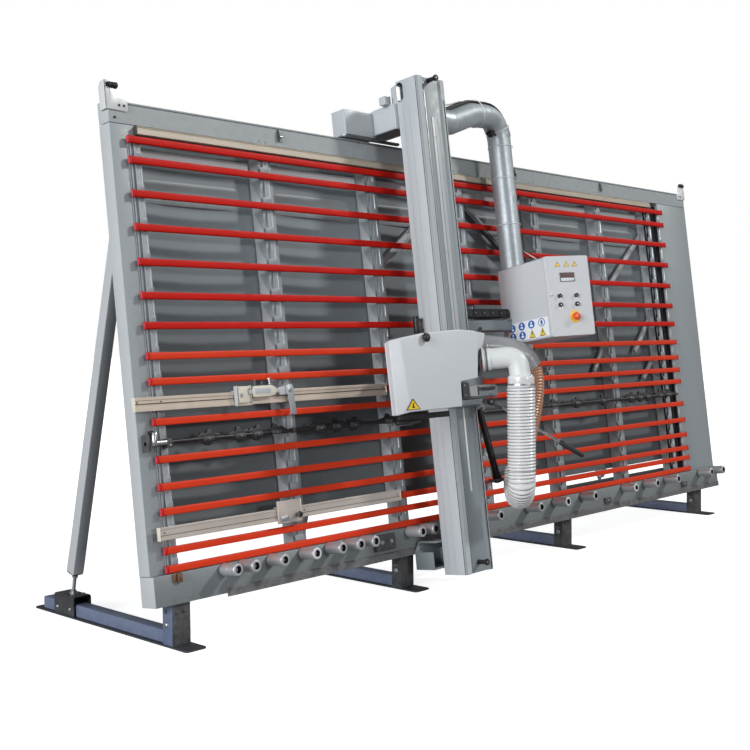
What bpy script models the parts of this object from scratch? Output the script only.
"""Vertical panel saw: a leaning support frame on four feet, a row of board rollers along its
lower beam, and a beam column that travels sideways and carries the saw head and control box.

Units are metres, +Z is up, +X runs along the machine from its left end, and the operator
stands on the -Y side. The frame leans back by LEAN, so its members are laid out in a tilted
system under the empty "frame_datum": u runs along the frame, v up the lean and w out of the
frame's face towards the operator. A point (u, w, v) is local (u, -w, v). Feet and struts are
laid out in level x, y, z under "floor_datum". A pair of values is a (from, to) span.
"""

import math

import bmesh
import bpy
from mathutils import Vector

# ------------------------------------------------------------------ driving dimensions
LEAN = math.radians(6.875)
BASE_Z = 0.196            # floor to the frame's lower front edge
GAP = 0.0005              # clearance between neighbouring pieces

FRAME_LENGTH = 5.300
FRAME_HEIGHT = 2.283
POST_DEPTH = 0.072
POST_WIDTH = 0.090
POSTS_U = [0.905, 1.680, 2.455, 3.230, 4.005, 4.700]
END_DEPTH = 0.080         # depth of the frame's outer border, deeper than the posts
END_WIDTH = 0.130         # left end plate
RIGHT_PLATE_U = 4.870     # left edge of the right end plate
FASCIA_V = 2.180          # lower edge of the top fascia
BEAM_HEIGHT = 0.155
BEAM_PROUD = 0.024        # the lower beam's face stands in front of the posts
BEAM_PROUD_TOP = 0.137    # up to here, below the lowest slat
REAR_BEAM_BACK = -0.128

FOOT_X = [0.147, 1.675, 3.234, 5.007]
FOOT_Y = (-0.032, 1.162)

SLAT_FRONT = 0.029
COLUMN_U = (1.783, 2.023)
COLUMN_W = (0.170, 0.325)
COLUMN_V = (-0.139, 2.591)

BLADE_U, BLADE_W, BLADE_V = 1.625, 0.235, 0.950
COVER_FRONT, COVER_BACK = 0.500, 0.428

TUBE_SEGMENTS = 20
BEND_STEPS = 6

# ------------------------------------------------------------------ scene and materials
for old in list(bpy.data.objects):
    bpy.data.objects.remove(old, do_unlink=True)

FINISHES = {
    "frame_paint": dict(colour=(0.33, 0.36, 0.37), roughness=0.45),
    "light_paint": dict(colour=(0.58, 0.60, 0.62), roughness=0.42),
    "panel_sheet": dict(colour=(0.22, 0.24, 0.25), roughness=0.55),
    "red_slat": dict(colour=(0.72, 0.05, 0.02), roughness=0.38),
    "anodised": dict(colour=(0.62, 0.53, 0.42), roughness=0.35, metallic=0.9),
    "foot_paint": dict(colour=(0.10, 0.13, 0.20), roughness=0.45),
    "black_steel": dict(colour=(0.03, 0.03, 0.035), roughness=0.5, metallic=0.3),
    "steel": dict(colour=(0.62, 0.62, 0.62), roughness=0.28, metallic=1.0),
    "galvanised": dict(colour=(0.55, 0.58, 0.60), roughness=0.32, metallic=1.0),
    "white_plastic": dict(colour=(0.80, 0.80, 0.78), roughness=0.4),
    "black_plastic": dict(colour=(0.02, 0.02, 0.02), roughness=0.5),
    "clear_hose": dict(colour=(0.80, 0.82, 0.82), roughness=0.15),
    "panel_front": dict(colour=(0.72, 0.72, 0.71), roughness=0.4),
    "stop_red": dict(colour=(0.75, 0.08, 0.02), roughness=0.35),
}


def material(name, colour, roughness, metallic=0.0):
    made = bpy.data.materials.new(name)
    made.use_nodes = True
    shader = made.node_tree.nodes["Principled BSDF"]
    shader.inputs["Base Color"].default_value = (*colour, 1.0)
    shader.inputs["Roughness"].default_value = roughness
    shader.inputs["Metallic"].default_value = metallic
    made.diffuse_color = (*colour, 1.0)
    return made


def place(name, data, location, parent):
    made = bpy.data.objects.new(name, data)
    made.location = location
    made.parent = parent
    bpy.context.scene.collection.objects.link(made)
    return made


# The world origin is the middle of the left foot's sole.
FLOOR = place("floor_datum", None, (-FOOT_X[0], -sum(FOOT_Y) / 2, 0.0), None)
FRAME = place("frame_datum", None, (0.0, 0.0, BASE_Z), FLOOR)
FRAME.rotation_euler = (-LEAN, 0.0, 0.0)


def publish(name, solid, finish, parent=FRAME, pivot=(0, 0, 0), sharp=None):
    """Turns a bmesh laid out in its parent's system into an object with its origin at pivot.

    With sharp given, it is smooth shaded except at edges above that many degrees.
    """
    bmesh.ops.recalc_face_normals(solid, faces=solid.faces[:])
    bmesh.ops.translate(solid, vec=-Vector(pivot), verts=solid.verts[:])
    mesh = bpy.data.meshes.new(name)
    solid.to_mesh(mesh)
    solid.free()
    if finish:
        mesh.materials.append(material(name + "_finish", **FINISHES[finish]))
    if sharp is not None:
        mesh.shade_smooth()
        mesh.set_sharp_from_angle(angle=math.radians(sharp))
    return place(name, mesh, pivot, parent)


def boolean(target, operation, helper_name, solid):
    """Adds a Boolean to target, driven by a hidden helper solid in the same system."""
    helper = publish(helper_name, solid, None, target.parent)
    helper.hide_render = True
    helper.display_type = "WIRE"
    modifier = target.modifiers.new(operation.lower() + "_" + helper.name, "BOOLEAN")
    modifier.operation = operation
    modifier.object = helper
    modifier.solver = "EXACT"


def join(target, helper_name, solid):
    boolean(target, "UNION", helper_name, solid)


def cut(target, helper_name, solid):
    boolean(target, "DIFFERENCE", helper_name, solid)


# ------------------------------------------------------------------ shapes
def at(u, w, v):
    return Vector((u, -w, v))


OUTWARD = at(0, 1, 0)     # from the frame's face towards the operator
INWARD = at(0, -1, 0)
RIGHT = Vector((1, 0, 0))


def bridge(solid, one, two):
    """Joins two closed loops of vertices with faces; either loop may be a single vertex."""
    count = max(len(one), len(two))
    for i in range(count):
        j = (i + 1) % count
        if len(one) == 1:
            solid.faces.new((one[0], two[i], two[j]))
        elif len(two) == 1:
            solid.faces.new((one[i], one[j], two[0]))
        else:
            solid.faces.new((one[i], one[j], two[j], two[i]))


def prism(outline, direction, solid=None):
    """Extrudes a closed outline of points along direction."""
    solid = solid or bmesh.new()
    bottom = [solid.verts.new(point) for point in outline]
    top = [solid.verts.new(Vector(point) + Vector(direction)) for point in outline]
    solid.faces.new(bottom[::-1])
    solid.faces.new(top)
    bridge(solid, bottom, top)
    return solid


def plate(outline, w, solid=None):
    """An outline of (u, v) points made solid over the span w."""
    return prism([at(u, w[0], v) for u, v in outline], at(0, w[1] - w[0], 0), solid)


def block(u, w, v):
    return plate([(u[0], v[0]), (u[1], v[0]), (u[1], v[1]), (u[0], v[1])], w)


def floor_prism(x, width, outline):
    """An outline of floor (y, z) points extruded to width, centred on x."""
    return prism([(x - width / 2, y, z) for y, z in outline], (width, 0, 0))


def floor_block(x, width, y, z):
    return floor_prism(x, width, [(y[0], z[0]), (y[1], z[0]), (y[1], z[1]), (y[0], z[1])])


def extrude(solid, faces, distance, keep):
    """Extrudes faces outwards along w, keeping the original faces if asked."""
    made = bmesh.ops.extrude_face_region(solid, geom=faces, use_keep_orig=keep)
    moved = [item for item in made["geom"] if isinstance(item, bmesh.types.BMVert)]
    bmesh.ops.translate(solid, vec=at(0, distance, 0), verts=moved)


def grid_plate(u_lines, v_lines, is_filled, w):
    """A plate of the grid cells where is_filled(u, v) holds at the cell's middle."""
    solid = bmesh.new()
    corners = {}

    def corner(i, j):
        if (i, j) not in corners:
            corners[i, j] = solid.verts.new(at(u_lines[i], w[0], v_lines[j]))
        return corners[i, j]

    for i in range(len(u_lines) - 1):
        for j in range(len(v_lines) - 1):
            if is_filled((u_lines[i] + u_lines[i + 1]) / 2, (v_lines[j] + v_lines[j + 1]) / 2):
                solid.faces.new((corner(i, j), corner(i + 1, j),
                                 corner(i + 1, j + 1), corner(i, j + 1)))
    extrude(solid, solid.faces[:], w[1] - w[0], keep=True)
    return solid


def raise_faces(solid, w, is_picked, distance):
    """Moves the faces at depth w whose middle satisfies is_picked(u, v) by distance along w."""
    chosen = []
    for face in solid.faces:
        middle = face.calc_center_median()
        if all(abs(-vert.co.y - w) < 1e-6 for vert in face.verts) and is_picked(middle.x, middle.z):
            chosen.append(face)
    extrude(solid, chosen, distance, keep=False)
    # any original faces left by the extrusion would close off the inside
    bmesh.ops.delete(solid, geom=[face for face in chosen if face.is_valid],
                     context="FACES_ONLY")


def basis(axis):
    """The unit axis and two unit vectors square to it."""
    axis = Vector(axis).normalized()
    side = axis.cross(Vector((0, 0, 1)))
    if side.length < 1e-3:
        side = axis.cross(Vector((1, 0, 0)))
    side.normalize()
    return axis, side, axis.cross(side)


def ring(solid, centre, side, up, radius, segments):
    angles = [2 * math.pi * k / segments for k in range(segments)]
    return [solid.verts.new(centre + (side * math.cos(angle) + up * math.sin(angle)) * radius)
            for angle in angles]


def turned(profile, centre, axis, segments, solid=None):
    """Revolves (radius, height) pairs about an axis; the profile starts and ends at radius 0."""
    solid = solid or bmesh.new()
    axis, side, up = basis(axis)
    rings = []
    for radius, height in profile:
        middle = Vector(centre) + axis * height
        if radius == 0:
            rings.append([solid.verts.new(middle)])
        else:
            rings.append(ring(solid, middle, side, up, radius, segments))
    for one, two in zip(rings, rings[1:]):
        bridge(solid, one, two)
    return solid


def rod(centre, axis, span, radius, segments, solid=None):
    """A cylinder over a span of distances along axis from centre."""
    start, end = span
    return turned([(0, start), (radius, start), (radius, end), (0, end)],
                  centre, axis, segments, solid)


def rounded_path(points, radius):
    """Straight runs joined by quadratic curves of about the given radius."""
    path = [points[0]]
    for before, corner, after in zip(points, points[1:], points[2:]):
        back, ahead = (before - corner).normalized(), (after - corner).normalized()
        trim = min(radius / math.tan(back.angle(ahead) / 2),
                   (before - corner).length * 0.49, (after - corner).length * 0.49)
        start, end = corner + back * trim, corner + ahead * trim
        for k in range(BEND_STEPS + 1):
            s = k / BEND_STEPS
            path.append(start * (1 - s) ** 2 + corner * 2 * s * (1 - s) + end * s ** 2)
    path.append(points[-1])
    return path


def publish_tube(name, finish, path, radius, wall):
    """Publishes a bent tube, open at both ends, with the given outer radius."""
    solid = bmesh.new()
    last = len(path) - 1
    tangents = [(path[min(i + 1, last)] - path[max(i - 1, 0)]).normalized()
                for i in range(len(path))]
    side = basis(tangents[0])[1]
    outer, inner = [], []
    for point, tangent in zip(path, tangents):
        # carry the side vector along the path so that the rings don't twist
        side = (side - tangent * side.dot(tangent)).normalized()
        up = tangent.cross(side)
        outer.append(ring(solid, point, side, up, radius, TUBE_SEGMENTS))
        inner.append(ring(solid, point, side, up, radius - wall, TUBE_SEGMENTS))
    for rings in (outer, inner):
        for one, two in zip(rings, rings[1:]):
            bridge(solid, one, two)
    for end in (0, -1):
        bridge(solid, outer[end], inner[end])
    publish(name, solid, finish, sharp=50)


def band_edges(centres, width):
    return [c + s * width / 2 for c in centres for s in (-1, 1)]


def in_band(value, centres, width):
    return any(abs(value - c) < width / 2 for c in centres)


# ------------------------------------------------------------------ support frame
REAR_BEAM = dict(u=(0.085, 5.180), w=(REAR_BEAM_BACK, -0.0785), v=(1.840, 1.960))
PANEL_BOTTOM = 0.310
PANEL_MARGIN = 0.004
PANEL_THICKNESS = 0.0045
BRACE_WIDTH = 0.048
BRACE_W = (-0.062, -0.032)
# upper and lower end (u, v) of each sloping brace's centre line
BRACES = {"left": ((2.440, 2.090), (1.690, 1.560)),
          "right": ((2.470, 2.050), (3.220, 1.520))}


def on_border(u, v):
    return u < END_WIDTH or u > RIGHT_PLATE_U or v < BEAM_HEIGHT or v > FASCIA_V


def build_main_frame():
    u_lines = sorted([0, END_WIDTH, RIGHT_PLATE_U, FRAME_LENGTH]
                     + band_edges(POSTS_U, POST_WIDTH))
    v_lines = [0, BEAM_PROUD_TOP, BEAM_HEIGHT, FASCIA_V, FRAME_HEIGHT]
    solid = grid_plate(u_lines, v_lines,
                       lambda u, v: on_border(u, v) or in_band(u, POSTS_U, POST_WIDTH),
                       w=(-POST_DEPTH, 0))
    raise_faces(solid, -POST_DEPTH, on_border, POST_DEPTH - END_DEPTH)
    raise_faces(solid, 0, lambda u, v: v < BEAM_PROUD_TOP, BEAM_PROUD)
    frame = publish("main_frame", solid, "frame_paint")
    join(frame, "rear_beam_tool", block(**REAR_BEAM))
    for side, ends in BRACES.items():
        upper, lower = (Vector(end) for end in ends)
        along = (lower - upper).normalized()
        across = Vector((-along.y, along.x)) * BRACE_WIDTH / 2
        join(frame, side + "_brace_tool", plate(
            [upper + across, upper - across, lower - across, lower + across], BRACE_W))


def build_back_panel():
    front = -POST_DEPTH - GAP
    publish("back_panel", block(
        u=(END_WIDTH + PANEL_MARGIN, RIGHT_PLATE_U - PANEL_MARGIN),
        w=(front - PANEL_THICKNESS, front),
        v=(PANEL_BOTTOM, FASCIA_V - PANEL_MARGIN)), "panel_sheet")


# ------------------------------------------------------------------ slats and guide rails
SLAT_V = [2.106, 2.011, 1.857, 1.703, 1.544, 1.391, 1.254, 1.115, 0.999,
          0.905, 0.817, 0.648, 0.525, 0.414, 0.314, 0.241, 0.158]
SLAT_HEIGHT = 0.036
SLAT_U = (0.075, 4.887)
CARRIER_U = [0.105, *POSTS_U, 4.840]      # upright strips behind the slats
CARRIER_WIDTH = 0.034
CARRIER_FRONT = 0.010

LOWER_RAIL_LEFT = 0.400
LOWER_RAIL_RIGHT_INSET = 0.010


def build_slat_grid():
    solid = grid_plate(
        sorted(list(SLAT_U) + band_edges(CARRIER_U, CARRIER_WIDTH)),
        sorted(band_edges(SLAT_V, SLAT_HEIGHT)),
        lambda u, v: in_band(v, SLAT_V, SLAT_HEIGHT) or in_band(u, CARRIER_U, CARRIER_WIDTH),
        w=(GAP, CARRIER_FRONT))
    raise_faces(solid, CARRIER_FRONT, lambda u, v: in_band(v, SLAT_V, SLAT_HEIGHT),
                SLAT_FRONT - CARRIER_FRONT)
    publish("slat_grid", solid, "red_slat", pivot=at(SLAT_U[0], 0, SLAT_V[-1]))


def build_guide_rails():
    publish("top_guide_rail", block(u=(0.126, 4.720), w=(GAP, 0.028), v=(2.132, 2.172)),
            "anodised")
    back, front = BEAM_PROUD + GAP, BEAM_PROUD + 0.010
    section = [(back, -0.016), (front, -0.016), (front, 0.020), (back, 0.024)]   # (w, v)
    length = FRAME_LENGTH - LOWER_RAIL_LEFT - LOWER_RAIL_RIGHT_INSET
    publish("lower_guide_rail", prism([at(LOWER_RAIL_LEFT, w, v) for w, v in section],
                                      RIGHT * length), "black_steel")


# ------------------------------------------------------------------ end stops
END_STOP_OVERHANG = 0.012
END_STOP_THICKNESS = 0.010
# (distance in from the stop's outer edge, v)
END_STOP_OUTLINE = [(0, 2.236), (0.115, 2.236), (0.115, 2.290),
                    (0.040, 2.306), (0.026, 2.372), (0, 2.372)]


def build_end_stop(side, edge_u, sign):
    """sign is the direction along u from the stop's outer edge to the frame's middle."""
    stop = publish("end_stop_" + side, plate(
        [(edge_u + sign * inset, v) for inset, v in END_STOP_OUTLINE],
        w=(GAP, GAP + END_STOP_THICKNESS)), "white_plastic")
    join(stop, side + "_bumper_tool", rod(
        at(edge_u + sign * 0.012, 0.006, 2.350), RIGHT * sign, (0, 0.058),
        radius=0.015, segments=14))


# ------------------------------------------------------------------ feet and rear struts
SOLE_WIDTH, SOLE_THICKNESS = 0.115, 0.008
RUNNER_WIDTH, RUNNER_TOP = 0.072, 0.066
RUNNER_Y = (0.012, 1.105)
LUG_WIDTH, LUG_BOTTOM = 0.104, 0.005
LUG_Y = (-0.008, 0.064)
LUG_CLEARANCE = 0.0012    # height left under the leaning frame
BRACKET_WIDTH, BRACKET_TOP = 0.100, 0.106
BRACKET_Y = (0.800, 0.985)

STRUT_SIDE = 0.075
STRUT_FOOT = Vector((0.865, 0.215))       # (y, z) at the centre line's lower end
STRUT_HEAD_V = 1.930
STRUT_HEAD_W = REAR_BEAM_BACK - 0.0006    # just behind the rear beam
STRUT_TAPER, STRUT_TAPER_LENGTH = 0.35, 0.022


def build_foot(number, x):
    name = "foot_%d" % number
    foot = publish(name, floor_block(x, SOLE_WIDTH, FOOT_Y, (0, SOLE_THICKNESS)),
                   "foot_paint", FLOOR)
    join(foot, name + "_runner_tool", floor_block(
        x, RUNNER_WIDTH, RUNNER_Y, (SOLE_THICKNESS / 2, RUNNER_TOP)))
    # the lug's top follows the frame's sloping underside
    front, rear = LUG_Y
    front_top, rear_top = (BASE_Z - y * math.tan(LEAN) - LUG_CLEARANCE for y in LUG_Y)
    join(foot, name + "_lug_tool", floor_prism(x, LUG_WIDTH, [
        (front, LUG_BOTTOM), (rear, LUG_BOTTOM), (rear, rear_top), (front, front_top)]))
    join(foot, name + "_bracket_tool", floor_block(
        x, BRACKET_WIDTH, BRACKET_Y, (RUNNER_TOP - 0.010, BRACKET_TOP)))


def head_plane_y(z):
    """Floor y, at height z, of the plane parallel to the frame's face at depth STRUT_HEAD_W."""
    v = (z - BASE_Z - STRUT_HEAD_W * math.sin(LEAN)) / math.cos(LEAN)
    return v * math.sin(LEAN) - STRUT_HEAD_W * math.cos(LEAN)


def strut_outline():
    """The strut's (y, z) side view, from its tapered foot to the plane behind the rear beam."""
    head_z = BASE_Z + STRUT_HEAD_V * math.cos(LEAN)
    along = (Vector((head_plane_y(head_z), head_z)) - STRUT_FOOT).normalized()
    across = Vector((along.y, -along.x)) * STRUT_SIDE / 2

    def head(foot_corner):
        """Where the edge rising from foot_corner meets the plane."""
        reach = ((head_plane_y(foot_corner.y) - foot_corner.x)
                 / (along.x - math.tan(LEAN) * along.y))
        return foot_corner + along * reach

    rear, front = STRUT_FOOT + across, STRUT_FOOT - across
    tip = STRUT_FOOT - along * STRUT_TAPER_LENGTH
    return [rear, head(rear), head(front), front,
            tip - across * STRUT_TAPER, tip + across * STRUT_TAPER]


def build_strut(number, x):
    strut = publish("rear_strut_%d" % number, floor_prism(x, STRUT_SIDE, strut_outline()),
                    "light_paint", FLOOR)
    join(strut, "strut_%d_screw_tool" % number, rod(
        (x, STRUT_FOOT.x + 0.020, 0.1090), (0, -0.22, 1), (0, 0.150),
        radius=0.009, segments=12))


# ------------------------------------------------------------------ rollers and support shaft
ROLLER_U = [0.39, 0.50, 0.68, 0.89, 1.07, 1.20, 1.31, 1.68, 1.79,
            2.38, 2.79, 3.08, 3.40, 3.91, 4.20, 4.50, 5.01, 5.20]
ROLLER_V = 0.112
ROLLER_RADIUS, ROLLER_LENGTH = 0.030, 0.110
ROLLER_HUB_RADIUS = 0.020
ROLLER_CHAMFER = 0.003

SHAFT_U, SHAFT_W, SHAFT_V = 0.020, 0.0240, 0.724
SHAFT_RADIUS, SHAFT_LENGTH = 0.0090, 4.790
FINGER_U = [0.42, 0.50, 0.66, 0.74, 0.84, 1.22, 1.30, 1.46, 2.06, 2.24, 2.62, 2.84, 3.02,
            3.42, 3.62, 3.82, 4.22, 4.42, 4.60]


def build_board_roller(number, u):
    base = at(u, BEAM_PROUD + GAP, ROLLER_V)
    profile = [(0, 0), (ROLLER_HUB_RADIUS, 0), (ROLLER_HUB_RADIUS, 0.004),
               (ROLLER_RADIUS, 0.006), (ROLLER_RADIUS, ROLLER_LENGTH - ROLLER_CHAMFER),
               (ROLLER_RADIUS - ROLLER_CHAMFER, ROLLER_LENGTH), (0, ROLLER_LENGTH)]
    publish("board_roller_%02d" % number, turned(profile, base, OUTWARD, 18),
            "steel", pivot=base, sharp=35)


def add_finger(solid, u, bottom_width, top_width, below, above, thickness):
    """Adds an upright finger that reaches below and above the shaft's centre."""
    bottom, top = bottom_width / 2, top_width / 2
    plate([(u - bottom, SHAFT_V - below), (u + bottom, SHAFT_V - below),
           (u + top, SHAFT_V + above), (u - top, SHAFT_V + above)],
          (SHAFT_W - thickness / 2, SHAFT_W + thickness / 2), solid)


def build_support_shaft():
    start = at(SHAFT_U, SHAFT_W, SHAFT_V)
    shaft = publish("support_shaft", rod(start, RIGHT, (0, SHAFT_LENGTH),
                                         radius=SHAFT_RADIUS, segments=10),
                    "black_steel", pivot=start, sharp=35)
    fingers = bmesh.new()
    for u in FINGER_U:
        add_finger(fingers, u, bottom_width=0.032, top_width=0.020,
                   below=0.014, above=0.050, thickness=0.013)
    # a slightly taller finger at the left end
    add_finger(fingers, 0.045, bottom_width=0.030, top_width=0.022,
               below=0.012, above=0.056, thickness=0.012)
    join(shaft, "finger_tool", fingers)


# ------------------------------------------------------------------ length stops
STOP_RAIL_W = (SLAT_FRONT + 0.0012, 0.054)
SLIDER_BACK = STOP_RAIL_W[1] + GAP
STOP_ARM_FRONT = 0.072
FLIP_STOP_THICKNESS = 0.008
# (u, v)
FLIP_STOP_OUTLINE = [(0.838, 0.950), (0.882, 0.950), (0.890, 0.800), (0.842, 0.800)]


def build_upper_stop():
    publish("upper_stop_rail", block(u=(-0.036, 1.590), w=STOP_RAIL_W, v=(0.866, 0.930)),
            "anodised")
    slider = publish("upper_stop_slider", block(
        u=(0.525, 0.620), w=(SLIDER_BACK, 0.078), v=(0.860, 0.955)), "white_plastic")
    join(slider, "stop_arm_tool", block(
        u=(0.600, 0.880), w=(0.0560, STOP_ARM_FRONT), v=(0.914, 0.936)))
    back = STOP_ARM_FRONT + GAP
    publish("flip_stop", plate(FLIP_STOP_OUTLINE, w=(back, back + FLIP_STOP_THICKNESS)),
            "steel", pivot=at(0.860, back, 0.925))


def build_lower_stop():
    publish("lower_stop_rail", block(u=(0.036, 1.620), w=STOP_RAIL_W, v=(0.290, 0.350)),
            "anodised")
    slider = publish("lower_stop_slider", block(
        u=(0.722, 0.880), w=(SLIDER_BACK, 0.066), v=(0.276, 0.386)), "steel")
    join(slider, "stop_knob_tool", rod(at(0.845, 0.060, 0.310), OUTWARD, (0, 0.034),
                                       radius=0.014, segments=14))


# ------------------------------------------------------------------ travelling column
COLUMN_LEFT, COLUMN_RIGHT = COLUMN_U
COLUMN_BACK, COLUMN_FRONT = COLUMN_W
COLUMN_BOTTOM, COLUMN_TOP = COLUMN_V
COLUMN_WALL = 0.008
COLUMN_STEP = 0.012       # how far the face lies behind its two guide edges
COLUMN_FACE = COLUMN_FRONT - COLUMN_STEP
# (u, w)
COLUMN_SECTION = [
    (COLUMN_LEFT, COLUMN_BACK), (COLUMN_RIGHT, COLUMN_BACK),
    (COLUMN_RIGHT, COLUMN_FACE), (COLUMN_RIGHT - 0.012, COLUMN_FRONT),
    (COLUMN_RIGHT - 0.040, COLUMN_FRONT), (COLUMN_RIGHT - 0.056, COLUMN_FACE),
    (COLUMN_LEFT + 0.060, COLUMN_FACE), (COLUMN_LEFT + 0.044, COLUMN_FRONT),
    (COLUMN_LEFT + 0.010, COLUMN_FRONT), (COLUMN_LEFT, COLUMN_FRONT - 0.010)]

SLOT_W, SLOT_RADIUS = 0.193, 0.026
SLOT_TOP_V, SLOT_BOTTOM_V = 2.556, 2.500  # centres of the slot's round ends

# (u, v)
BOTTOM_CARRIAGE_OUTLINE = [(1.700, -0.100), (2.110, -0.100), (2.110, -0.020),
                           (2.060, 0.050), (1.740, 0.050), (1.700, 0.000)]

PIPE_RADIUS, PIPE_WALL = 0.070, 0.002
# (u, w, v) corners from the column's right side, over and down behind the control box
PIPE_CORNERS = [(COLUMN_RIGHT + 0.002, 0.243, 2.385), (2.120, 0.243, 2.385),
                (2.400, 0.190, 2.485), (2.735, 0.140, 2.525), (2.740, 0.140, 1.060)]


def build_column():
    column = publish("column_beam", prism(
        [at(u, w, COLUMN_BOTTOM) for u, w in COLUMN_SECTION],
        (0, 0, COLUMN_TOP - COLUMN_BOTTOM)), "light_paint")
    cut(column, "column_duct_tool", block(
        u=(COLUMN_LEFT + COLUMN_WALL, COLUMN_RIGHT - COLUMN_WALL),
        w=(COLUMN_BACK + COLUMN_WALL, COLUMN_FACE - COLUMN_WALL),
        v=(COLUMN_BOTTOM - 0.05, COLUMN_TOP + 0.05)))
    # round-ended slot through the left wall, near the top
    slot = [at(COLUMN_LEFT - 0.02, SLOT_W + SLOT_RADIUS * math.cos(math.radians(degrees)),
               centre + SLOT_RADIUS * math.sin(math.radians(degrees)))
            for centre, first in ((SLOT_TOP_V, 0), (SLOT_BOTTOM_V, 180))
            for degrees in range(first, first + 181, 30)]
    cut(column, "column_slot_tool", prism(slot, RIGHT * 0.05))


def build_carriages():
    top = publish("top_carriage", block(
        u=(1.525, 1.770), w=(-0.098, 0.004), v=(2.310, 2.452)), "light_paint")
    join(top, "carriage_arm_tool", block(
        u=(1.755, 1.900), w=(-0.090, COLUMN_BACK - GAP), v=(2.328, 2.470)))
    publish("bottom_carriage", plate(BOTTOM_CARRIAGE_OUTLINE, w=(0.040, COLUMN_BACK - GAP)),
            "frame_paint")


def build_suction_pipe():
    path = rounded_path([at(*corner) for corner in PIPE_CORNERS], 0.20)
    publish_tube("suction_pipe", "galvanised", path, PIPE_RADIUS, PIPE_WALL)


# ------------------------------------------------------------------ control box
BOX_ANGLE = math.radians(20.9)
BOX_CORNER = (2.344, 0.650, 1.552)    # (u, w, v) of the front face's upper left corner
BOX_DEPTH, BOX_WIDTH, BOX_HEIGHT = 0.498, 0.291, 0.452
BOX_WALL = 0.004
DOOR_THICKNESS = 0.012
# (right, down) on the door
BUTTONS = [(0.072, 0.225), (0.072, 0.275), (0.185, 0.225), (0.185, 0.275)]
EMERGENCY_STOP = (0.165, 0.345)
# (radius, distance out from the door's face)
BUTTON_PROFILE = [(0, -0.0085), (0.0085, -0.0085), (0.0085, 0.0036), (0.0125, 0.0036),
                  (0.0125, 0.0090), (0.0110, 0.0105), (0, 0.0105)]
EMERGENCY_PROFILE = [(0, -0.0065), (0.0112, -0.0065), (0.0112, 0.0060), (0.0210, 0.0060),
                     (0.0215, 0.0200), (0.0170, 0.0250), (0, 0.0265)]

CHAIN_LINKS = 9
CHAIN_U = (2.030, 2.470)
CHAIN_W = (0.205, 0.275)
CHAIN_V = 1.287                       # middle height
CHAIN_LINK_HALF, CHAIN_JOINT_HALF = 0.025, 0.017


def box_at(right, back, down):
    """Point on the control box: right along its front, back from its face, down from its top."""
    u, w, v = BOX_CORNER
    cosine, sine = math.cos(BOX_ANGLE), math.sin(BOX_ANGLE)
    return at(u + right * cosine + back * sine, w + right * sine - back * cosine, v - down)


DOOR_OUT = (box_at(0, -1, 0) - box_at(0, 0, 0)).normalized()


def box_block(right, back, down):
    return prism([box_at(right[0], back[0], down[0]), box_at(right[1], back[0], down[0]),
                  box_at(right[1], back[0], down[1]), box_at(right[0], back[0], down[1])],
                 box_at(0, back[1], 0) - box_at(0, back[0], 0))


def build_control_box():
    shell = publish("control_box", box_block(
        (0, BOX_WIDTH), (DOOR_THICKNESS + GAP, BOX_DEPTH), (0, BOX_HEIGHT)), "light_paint")
    # the pocket runs out through the front, leaving the shell open there
    cut(shell, "control_pocket_tool", box_block(
        (BOX_WALL, BOX_WIDTH - BOX_WALL), (-0.05, BOX_DEPTH - BOX_WALL),
        (BOX_WALL, BOX_HEIGHT - BOX_WALL)))
    join(shell, "control_arm_tool", block(
        u=(COLUMN_RIGHT + GAP, 2.560), w=(0.205, 0.275), v=(1.185, 1.245)))


def build_control_door():
    door = publish("control_door", box_block(
        (0, BOX_WIDTH), (0, DOOR_THICKNESS), (0, BOX_HEIGHT)), "panel_front",
        pivot=box_at(BOX_WIDTH, DOOR_THICKNESS, BOX_HEIGHT / 2))
    holes = bmesh.new()
    for (right, down), radius in [*((button, 0.0095) for button in BUTTONS),
                                  (EMERGENCY_STOP, 0.0125)]:
        rod(box_at(right, 0.03, down), DOOR_OUT, (0, 0.06), radius, 14, holes)
    cut(door, "door_holes_tool", holes)


def build_button(name, position, profile, segments, finish):
    right, down = position
    centre = box_at(right, 0, down)
    publish(name, turned(profile, centre, DOOR_OUT, segments), finish, pivot=centre, sharp=35)


def build_cable_chain():
    start, end = CHAIN_U
    top = []                          # (u, height above the middle)
    for k in range(CHAIN_LINKS):
        left = start + (end - start) * k / CHAIN_LINKS
        right = start + (end - start) * (k + 1) / CHAIN_LINKS
        top += [(left + 0.004, CHAIN_LINK_HALF), (right - 0.010, CHAIN_LINK_HALF),
                (right - 0.006, CHAIN_JOINT_HALF), (right, CHAIN_JOINT_HALF)]
    outline = ([(u, CHAIN_V + height) for u, height in top]
               + [(u, CHAIN_V - height) for u, height in reversed(top)])
    publish("cable_chain", plate(outline, CHAIN_W), "black_plastic")


# ------------------------------------------------------------------ saw head on the column
SADDLE_LEFT, SADDLE_RIGHT = 1.757, 2.058
CHEEK_FRONT = COLUMN_FRONT + 0.010
CHEEK_V = (0.800, 1.100)
SADDLE_PARTS = {
    "left_cheek": dict(u=(SADDLE_LEFT, COLUMN_LEFT - GAP), w=(0.205, CHEEK_FRONT), v=CHEEK_V),
    "right_cheek": dict(u=(COLUMN_RIGHT + GAP, SADDLE_RIGHT), w=(0.300, CHEEK_FRONT), v=CHEEK_V),
    "turret_bracket": dict(u=(1.460, 1.800), w=(0.388, 0.408), v=(0.830, 1.090)),
    "bracket_foot": dict(u=(1.775, 1.835), w=(0.340, 0.396), v=(0.850, 1.070)),
    "cover_post": dict(u=(1.700, 1.780), w=(0.400, COVER_BACK - GAP), v=(0.930, 1.050)),
    "handle_bar": dict(u=(1.860, 2.120), w=(0.345, 0.392), v=(0.800, 0.872)),
}
TURRET_RADIUS, TURRET_THICKNESS, TURRET_W = 0.110, 0.026, 0.3875
GUIDE_ROD_OFFSET = 0.086              # above and below the blade's centre
MOTOR_LEFT = 1.455
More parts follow.
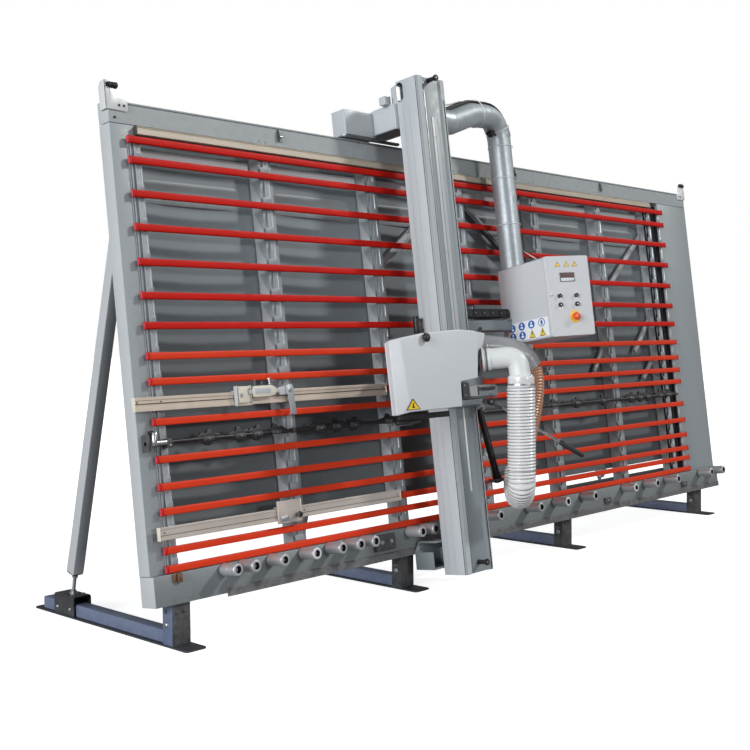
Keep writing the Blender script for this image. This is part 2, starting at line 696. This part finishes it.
# (radius, distance right of the motor's left end)
MOTOR_PROFILE = [(0, 0), (0.030, 0), (0.034, 0.012), (0.050, 0.016), (0.054, 0.022),
                 (0.054, 0.128), (0.044, 0.140), (0.020, 0.150), (0, 0.150)]

BLADE_RADIUS, BLADE_THICKNESS = 0.125, 0.0032
TEETH = 24
# (depth below the blade's radius, fraction of a tooth's pitch)
TOOTH = [(0, 0.0), (0.002, 0.16), (0.004, 0.62), (0.011, 0.88)]
ARBOR_LEFT = 1.6058
# (radius, distance right of ARBOR_LEFT)
ARBOR_PROFILE = [(0, 0), (0.012, 0), (0.012, 0.004), (0.032, 0.005), (0.032, 0.0230),
                 (0.016, 0.0240), (0.016, 0.0340), (0, 0.0340)]


def build_head_saddle():
    saddle = publish("head_saddle", block(
        u=(SADDLE_LEFT, SADDLE_RIGHT), w=(COLUMN_FRONT + GAP, 0.352), v=(0.760, 1.130)),
        "frame_paint")
    for name, spans in SADDLE_PARTS.items():
        join(saddle, name + "_tool", block(**spans))


def build_swivel_turret():
    """A disc behind the turret bracket with two guide rods running inwards."""
    pivot = at(BLADE_U, TURRET_W, BLADE_V)
    turret = publish("swivel_turret", rod(pivot, INWARD, (0, TURRET_THICKNESS),
                                          TURRET_RADIUS, segments=28),
                     "steel", pivot=pivot, sharp=40)
    rods = bmesh.new()
    for offset in (-GUIDE_ROD_OFFSET, GUIDE_ROD_OFFSET):
        rod(at(BLADE_U - 0.045, 0.370, BLADE_V + offset), INWARD, (0, 0.180),
            radius=0.008, segments=12, solid=rods)
    join(turret, "guide_rods_tool", rods)


def build_saw_motor():
    motor = publish("saw_motor", turned(MOTOR_PROFILE, at(MOTOR_LEFT, BLADE_W, BLADE_V),
                                        RIGHT, 24),
                    "black_steel", pivot=at(BLADE_U, BLADE_W, BLADE_V), sharp=35)
    join(motor, "motor_yoke_tool", block(
        u=(1.500, 1.590), w=(BLADE_W + 0.020, 0.3050), v=(BLADE_V - 0.040, BLADE_V + 0.040)))


def build_saw_blade():
    disc = []
    for k in range(TEETH):
        for depth, fraction in TOOTH:
            radius = BLADE_RADIUS - depth
            angle = 2 * math.pi * (k + fraction) / TEETH
            disc.append(at(BLADE_U - BLADE_THICKNESS / 2, BLADE_W + radius * math.cos(angle),
                           BLADE_V + radius * math.sin(angle)))
    blade = publish("saw_blade", prism(disc, RIGHT * BLADE_THICKNESS), "steel",
                    pivot=at(BLADE_U, BLADE_W, BLADE_V))
    join(blade, "arbor_tool", turned(ARBOR_PROFILE, at(ARBOR_LEFT, BLADE_W, BLADE_V),
                                     RIGHT, 20))


# ------------------------------------------------------------------ saw cover
# (u, v) clockwise from the upper left, then the two points of the bevelled left side
COVER = [(1.198, 1.125), (1.456, 1.155), (1.707, 1.168), (1.871, 1.156), (1.955, 1.147),
         (1.831, 0.915), (1.685, 0.891), (1.675, 0.760), (1.225, 0.753)]
COVER_LEFT = [(1.148, 0.742), (1.134, 1.110)]
BEVEL_DEPTH = 0.030
# the same outlines for the hollow inside
POCKET = [(1.200, 1.1210), (1.456, 1.1512), (1.707, 1.1642), (1.871, 1.1522),
          (1.9490, 1.1440), (1.8290, 0.9190), (1.6815, 0.8945), (1.6715, 0.7640),
          (1.226, 0.7570)]
POCKET_LEFT = [(1.160, 0.7475), (1.146, 1.1065)]
POCKET_INSET, POCKET_LEFT_INSET = 0.0035, 0.0365      # behind COVER_FRONT
POCKET_DEPTH = 0.120


def build_saw_cover():
    """A pan with a bevelled left side, open at the back."""
    solid = bmesh.new()

    def corners(outline, w):
        return [solid.verts.new(at(u, w, v)) for u, v in outline]

    front = corners(COVER, COVER_FRONT)
    rim = corners(COVER, COVER_BACK)
    bevel = corners(COVER_LEFT, COVER_FRONT - BEVEL_DEPTH)
    edge = corners(COVER_LEFT, COVER_BACK)
    solid.faces.new(front)
    for i in range(len(COVER) - 1):
        solid.faces.new((front[i], rim[i], rim[i + 1], front[i + 1]))
    solid.faces.new((front[-1], front[0], bevel[1], bevel[0]))
    solid.faces.new((bevel[0], bevel[1], edge[1], edge[0]))
    solid.faces.new((front[-1], bevel[0], edge[0], rim[-1]))
    solid.faces.new((front[0], rim[0], edge[1], bevel[1]))
    solid.faces.new(rim[::-1] + edge[::-1])
    cover = publish("saw_cover", solid, "light_paint")
    pocket = ([at(u, COVER_FRONT - POCKET_INSET, v) for u, v in POCKET]
              + [at(u, COVER_FRONT - POCKET_LEFT_INSET, v) for u, v in POCKET_LEFT])
    cut(cover, "cover_pocket_tool", prism(pocket, INWARD * POCKET_DEPTH))


# ------------------------------------------------------------------ dust hoses
HOSE_TOP = (2.062, 0.606, 0.867)      # (u, w, v)
HOSE_DROP = 0.480
FRONT_HOSE_RADIUS, REAR_HOSE_RADIUS, HOSE_WALL = 0.078, 0.070, 0.003
ELBOW_RADIUS, ELBOW_WALL = 0.057, 0.004
LOOP_START_DROP = 0.530               # where the loop begins, below HOSE_TOP
LOOP_END = at(2.310, 0.325, 0.330)
LOOP_SAG = 0.120
LOOP_STEPS = 8
# (u, w, v) from the loop up to the column's right side
REAR_HOSE_RISE = [(2.350, 0.345, 0.500), (2.405, 0.378, 0.700), (2.430, 0.398, 0.880),
                  (2.405, 0.392, 0.990), (2.350, 0.370, 1.052), (2.270, 0.330, 1.082),
                  (2.170, 0.275, 1.090), (2.100, 0.225, 1.086),
                  (COLUMN_RIGHT + 0.003, 0.225, 1.086)]


def plumb(u, w, v, down):
    """The point hanging straight down from (u, w, v): it comes nearer to the leaning frame."""
    return at(u, w - down * math.sin(LEAN), v - down * math.cos(LEAN))


def build_hoses():
    u, w, v = HOSE_TOP
    elbow = rounded_path([at(1.936, 0.455, 1.003), at(2.058, 0.602, 1.004),
                          at(u, w, v + 0.001)], 0.09)
    publish_tube("hose_elbow", "white_plastic", elbow, ELBOW_RADIUS, ELBOW_WALL)
    publish_tube("dust_hose_front", "clear_hose",
                 [plumb(*HOSE_TOP, drop) for drop in (0.0, 0.16, 0.32, HOSE_DROP)],
                 FRONT_HOSE_RADIUS, HOSE_WALL)

    loop_start = plumb(*HOSE_TOP, LOOP_START_DROP)
    middle, half_span = (loop_start + LOOP_END) / 2, (LOOP_END - loop_start) / 2
    sag = plumb(0, 0, 0, 1.0) * LOOP_SAG
    path = [plumb(*HOSE_TOP, HOSE_DROP + GAP)]
    for k in range(LOOP_STEPS + 1):
        angle = math.pi * k / LOOP_STEPS
        path.append(middle - half_span * math.cos(angle) + sag * math.sin(angle))
    path += [at(*point) for point in REAR_HOSE_RISE]
    publish_tube("dust_hose_rear", "clear_hose", path, REAR_HOSE_RADIUS, HOSE_WALL)


# ------------------------------------------------------------------ plunge lever
LEVER_HUB = at(2.045, 0.405, 0.775)
LEVER_TIP = at(2.372, 0.748, 0.427)
# (radius, fraction of the lever's length)
GRIP_PROFILE = [(0, 0.74), (0.013, 0.74), (0.016, 0.80), (0.015, 0.97), (0.008, 1), (0, 1)]


def build_plunge_lever():
    """A hub at the right of the saddle with a rod and grip sloping down and outwards."""
    reach = LEVER_TIP - LEVER_HUB
    hinge = Vector((reach.x, reach.y, 0)).cross(Vector((0, 0, 1))).normalized()
    lever = publish("plunge_lever", rod(LEVER_HUB, hinge, (-0.009, 0.009),
                                        radius=0.022, segments=18),
                    "black_plastic", pivot=LEVER_HUB, sharp=40)
    join(lever, "lever_rod_tool", rod(
        LEVER_HUB + reach.normalized() * 0.006, reach, (0, reach.length * 0.78),
        radius=0.007, segments=12))
    join(lever, "lever_grip_tool", turned(
        [(radius, reach.length * part) for radius, part in GRIP_PROFILE], LEVER_HUB, reach, 16))


# ------------------------------------------------------------------ assembly
build_main_frame()
build_back_panel()
build_slat_grid()
build_guide_rails()
build_end_stop("left", -END_STOP_OVERHANG, 1)
build_end_stop("right", FRAME_LENGTH + END_STOP_OVERHANG, -1)
for number, x in enumerate(FOOT_X, 1):
    build_foot(number, x)
    build_strut(number, x)
for number, u in enumerate(ROLLER_U, 1):
    build_board_roller(number, u)
build_support_shaft()
build_upper_stop()
build_lower_stop()
build_column()
build_carriages()
build_suction_pipe()
build_control_box()
build_control_door()
for number, position in enumerate(BUTTONS, 1):
    build_button("push_button_%d" % number, position, BUTTON_PROFILE, 16, "black_plastic")
build_button("emergency_stop", EMERGENCY_STOP, EMERGENCY_PROFILE, 20, "stop_red")
build_cable_chain()
build_head_saddle()
build_swivel_turret()
build_saw_motor()
build_saw_blade()
build_saw_cover()
build_hoses()
build_plunge_lever()
